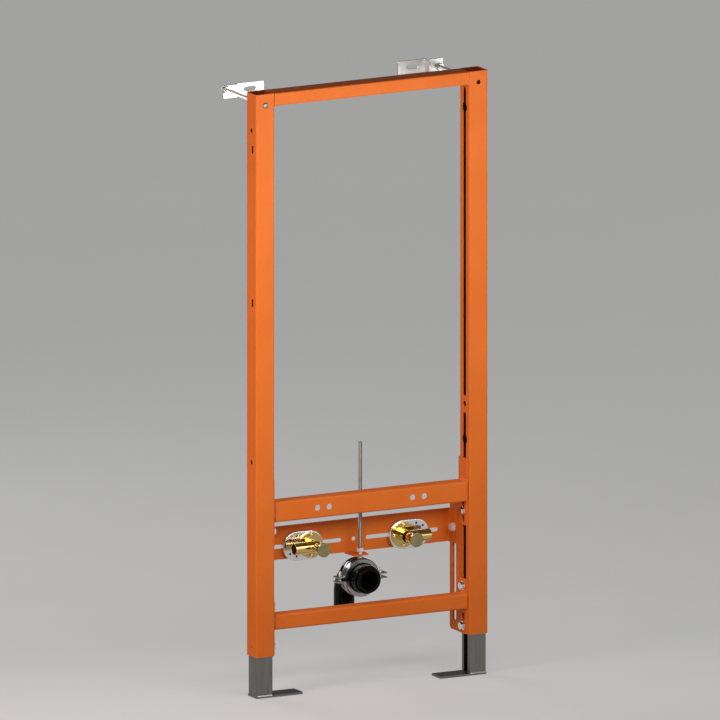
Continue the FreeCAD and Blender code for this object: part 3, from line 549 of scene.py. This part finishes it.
def add_piece(name, shape, slot, body, *nodes, finish=None):
    """Link a new piece made in the row frame, let it ride on a body and stand for its nodes."""
    mesh = to_mesh(name, shape)
    mesh.materials.append(MATERIALS[finish or slot])
    mesh.shade_smooth()
    piece = bpy.data.objects.new(name, mesh)
    bpy.context.scene.collection.objects.link(piece)
    crease = piece.modifiers.new("crease", "EDGE_SPLIT")
    crease.split_angle = CREASE_ANGLE
    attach(piece, body)
    if nodes:
        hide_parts(*nodes)


def drain_rod():
    """Threaded drain rod, whose two finishes meet inside its nut: the whiter zinc below it is a painted
    highlight on the neck.
    """
    low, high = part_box("drain_rod")
    centre = middle(low, high)
    nut = middle(*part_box("drain_rod_nut"))
    # The neck below the nut takes the whiter zinc as a painted highlight, the thread above it the grey zinc
    for name, start, end, finish in (("drain_rod_neck", low.z, nut.z, "white_zinc"),
                                     ("drain_rod_thread", nut.z, high.z, "dull_zinc")):
        shape = bmesh.new()
        base = Vector((centre.x, centre.y, start))
        cut_thread(shape, placed(base, Z_AXIS), ROD_RADIUS, ROD_DEPTH, ROD_PITCH, end - start)
        add_piece(name, shape, "zinc", "frame", "drain_rod", finish=finish)


def wall_rod(side, head_height=0.0):
    """Threaded wall rod, with a screw head at its front end where it has one."""
    node = f"{side}_wall_rod"
    low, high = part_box(node)
    centre = middle(low, high)
    seat = Vector((centre.x, low.y + head_height, centre.z))
    shape = bmesh.new()
    cut_thread(shape, placed(seat, Y_AXIS), ROD_RADIUS, ROD_DEPTH, ROD_PITCH, high.y - seat.y)
    add_piece(f"{node}_thread", shape, "zinc", "frame", node, finish="white_zinc")
    if head_height:
        head = bmesh.new()
        add_mesh(head, pan_head((high.x - low.x) / 2, head_height), placed(seat, -Y_AXIS))
        add_piece(f"{node}_head", head, "zinc", "frame", node, finish="galvanised_steel")


def clamp_screw_set():
    """Pan head screws of the clamp, heads down, with threaded shanks."""
    shape = bmesh.new()
    for low, high in solid_boxes("clamp_screws"):
        centre = middle(low, high)
        seat = Vector((centre.x, centre.y, low.z + CLAMP_HEAD_HEIGHT))
        add_mesh(shape, pan_head((high.x - low.x) / 2, CLAMP_HEAD_HEIGHT), placed(seat, -Z_AXIS))
        cut_thread(shape, placed(seat, Z_AXIS), CLAMP_SCREW_RADIUS, CLAMP_SCREW_DEPTH, CLAMP_SCREW_PITCH,
                   high.z - seat.z)
    add_piece("clamp_screw_set", shape, "zinc", "frame", "clamp_screws", finish="white_zinc")


def tap_screw_set(side):
    """Cross recess screws of one elbow's flange, with plain pointed shanks."""
    node = f"{side}_tap_screws"
    shape = bmesh.new()
    for low, high in solid_boxes(node):
        centre = middle(low, high)
        seat = Vector((centre.x, low.y + TAP_HEAD_HEIGHT, centre.z))
        add_mesh(shape, pan_head((high.x - low.x) / 2, TAP_HEAD_HEIGHT), placed(seat, -Y_AXIS))
        length = high.y - seat.y
        shank = [
            (SHANK_RADIUS, 0),
            (SHANK_RADIUS, SHANK_SHARE * length),
            (POINT_SHARE * SHANK_RADIUS, length),
        ]
        turn_profile(shape, placed(seat, Y_AXIS), shank, SHANK_SIDES)
    add_piece(f"{side}_tap_screw_set", shape, "brass", "frame", node, finish="bright_brass")


def inlet_thread(side, outward):
    """Thread in the mouth of one elbow's side inlet."""
    low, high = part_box(f"{side}_tap_elbow")
    mount = next(item for item in frame["record"]["mounts"] if item["name"] == f"{side}_water_inlet")
    place = Vector(mount["pos_m"])
    mouth = high.x if outward.x > 0 else low.x
    base = Vector((mouth, place.y, place.z)) - outward * INLET_THREAD_LENGTH
    shape = bmesh.new()
    threaded_sleeve(shape, placed(base, outward), INLET_RADIUS, INLET_DEPTH, INLET_PITCH,
                    INLET_THREAD_LENGTH - INLET_PITCH)
    # The thread takes the darkened brass as painted shade in the inlet's mouth
    add_piece(f"{side}_inlet_thread", shape, "brass", "frame", finish="shaded_brass")


def weld(shape, start, end, first, second, size=WELD_SIZE):
    """Rippled fillet weld along a line, in the corner between two outward directions."""
    run = end - start
    steps = max(FEWEST_WELD_STEPS, round(run.length / WELD_STEP))
    rings = []
    for step in range(steps + 1):
        ripple = 1 - WELD_RIPPLE * (step % 2)
        fade = WELD_END if step in (0, steps) else 1.0
        reach = size * ripple * fade
        point = start + run * (step / steps)
        ring = [shape.verts.new(point)]
        for turn in range(WELD_SIDES):
            angle = math.pi / 2 * turn / (WELD_SIDES - 1)
            bulge = reach * (WELD_THROAT + (1 - WELD_THROAT) * abs(math.cos(2 * angle)))
            ring.append(shape.verts.new(point + (first * math.cos(angle) + second * math.sin(angle)) * bulge))
        rings.append(ring)
    join_rings(shape, rings)
    bmesh.ops.recalc_face_normals(shape, faces=shape.faces)


def leg_weld(side):
    """Welds in front of and behind the base of one leg, on its foot plate."""
    low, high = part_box(f"{side}_leg")
    left = low.x + LEG_WELD_SIZE / 2
    right = high.x - LEG_WELD_SIZE / 2
    shape = bmesh.new()
    for first, last, y, outward in ((left, right, low.y, -Y_AXIS), (right, left, high.y, Y_AXIS)):
        start = Vector((first, y, low.z))
        end = Vector((last, y, low.z))
        weld(shape, start, end, outward, Z_AXIS, LEG_WELD_SIZE)
    # The welds take a whiter metal than the legs as a painted highlight
    add_piece(f"{side}_leg_weld", shape, "galvanised_steel", "feet", finish="weld_highlight_zinc")


def rail_welds(rail):
    """Painted welds where the flanges of a rail meet the side plates."""
    low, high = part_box(rail)
    shape = bmesh.new()
    for x, inward in ((low.x, X_AXIS), (high.x, -X_AXIS)):
        for z, outward in ((low.z, -Z_AXIS), (high.z, Z_AXIS)):
            start = Vector((x, low.y + 2 * WELD_SIZE, z))
            end = Vector((x, high.y, z))
            weld(shape, start, end, inward, outward)
    add_piece(f"{rail}_welds", shape, "orange_paint", "frame")


def top_bar_welds():
    """Painted welds under the ends of the top bar."""
    low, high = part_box("top_bar")
    shape = bmesh.new()
    for x, inward in ((low.x, X_AXIS), (high.x, -X_AXIS)):
        start = Vector((x, low.y + WELD_SIZE, low.z))
        end = Vector((x, high.y - WELD_SIZE, low.z))
        weld(shape, start, end, inward, -Z_AXIS)
    add_piece("top_bar_welds", shape, "orange_paint", "frame")


def pale_floor():
    """Floor that keeps the shadow and stays pale far away."""
    material, shader = new_material("pale_floor")
    tint(material, shader, noise_field(material, FLOOR_PATCHES), FLOOR_DARK, FLOOR_LIGHT)
    shader.inputs["Roughness"].default_value = FLOOR_ROUGHNESS
    shader.inputs["Specular IOR Level"].default_value = FLOOR_SPECULAR
    path = material.node_tree.nodes.new("ShaderNodeLightPath")
    seen = path.outputs["Is Camera Ray"]
    for ray in ("Is Glossy Ray", "Is Transmission Ray"):
        seen = calculate(material, "MAXIMUM", seen, path.outputs[ray])
    glow = calculate(material, "MULTIPLY", seen, FLOOR_GLOW)
    shader.inputs["Emission Color"].default_value = (*WHITE, 1)
    material.node_tree.links.new(glow, shader.inputs["Emission Strength"])
    return material


def add_lamp(name, place, size, power, aim=VIEW_TARGET, color=WHITE):
    """Oblong area lamp that faces a point of the object."""
    lamp = bpy.data.lights.new(name, "AREA")
    lamp.shape = "RECTANGLE"
    lamp.size, lamp.size_y = size
    lamp.energy = power
    lamp.color = color
    holder = bpy.data.objects.new(name, lamp)
    holder.location = place
    holder.rotation_euler = (aim - Vector(place)).to_track_quat("-Z", "Y").to_euler()
    bpy.context.scene.collection.objects.link(holder)


def studio():
    """Pale floor and soft light."""
    bpy.ops.mesh.primitive_plane_add(size=FLOOR_SIZE, location=(VIEW_TARGET.x, VIEW_TARGET.y, 0))
    floor = bpy.context.object
    floor.name = "floor"
    floor.data.materials.append(pale_floor())

    world = bpy.data.worlds.new("studio")
    world.use_nodes = True
    background = world.node_tree.nodes["Background"]
    background.inputs["Color"].default_value = (*WORLD_COLOR, 1)
    background.inputs["Strength"].default_value = WORLD_STRENGTH
    bpy.context.scene.world = world

    add_lamp("key", place=(0.15, -1.05, 1.00), size=(1.6, 0.5), power=12.7, aim=KEY_AIM)
    add_lamp("left", place=(-0.95, -0.30, 0.80), size=(0.3, 1.4), power=7.9, color=WARM)
    add_lamp("right", place=(1.45, -2.0, 0.62), size=(1.7, 0.9), power=6.0)
    add_lamp("back", place=(-0.35, 2.2, 1.60), size=(1.0, 0.8), power=11.5)


def camera():
    """Orthographic camera at the photograph's viewing angle."""
    azimuth = math.radians(-VIEW_AZIMUTH)
    elevation = math.radians(VIEW_ELEVATION)
    level = math.cos(elevation)
    look = Vector((math.sin(azimuth) * level, math.cos(azimuth) * level, -math.sin(elevation)))
    data = bpy.data.cameras.new("camera")
    data.type = "ORTHO"
    data.ortho_scale = VIEW_WIDTH
    holder = bpy.data.objects.new("camera", data)
    holder.location = VIEW_TARGET - look * VIEW_DISTANCE
    holder.rotation_euler = look.to_track_quat("-Z", "Y").to_euler()
    bpy.context.scene.collection.objects.link(holder)
    bpy.context.scene.camera = holder


paint_nodes()
drain_rod()
wall_rod("right")
wall_rod("left", ROD_HEAD_HEIGHT)
clamp_screw_set()
for side, outward in (("left", -X_AXIS), ("right", X_AXIS)):
    tap_screw_set(side)
    inlet_thread(side, outward)
    leg_weld(side)
rail_welds("upper_rail")
rail_welds("lower_rail")
top_bar_welds()
studio()
camera()
bpy.context.scene.view_settings.view_transform = "Standard"
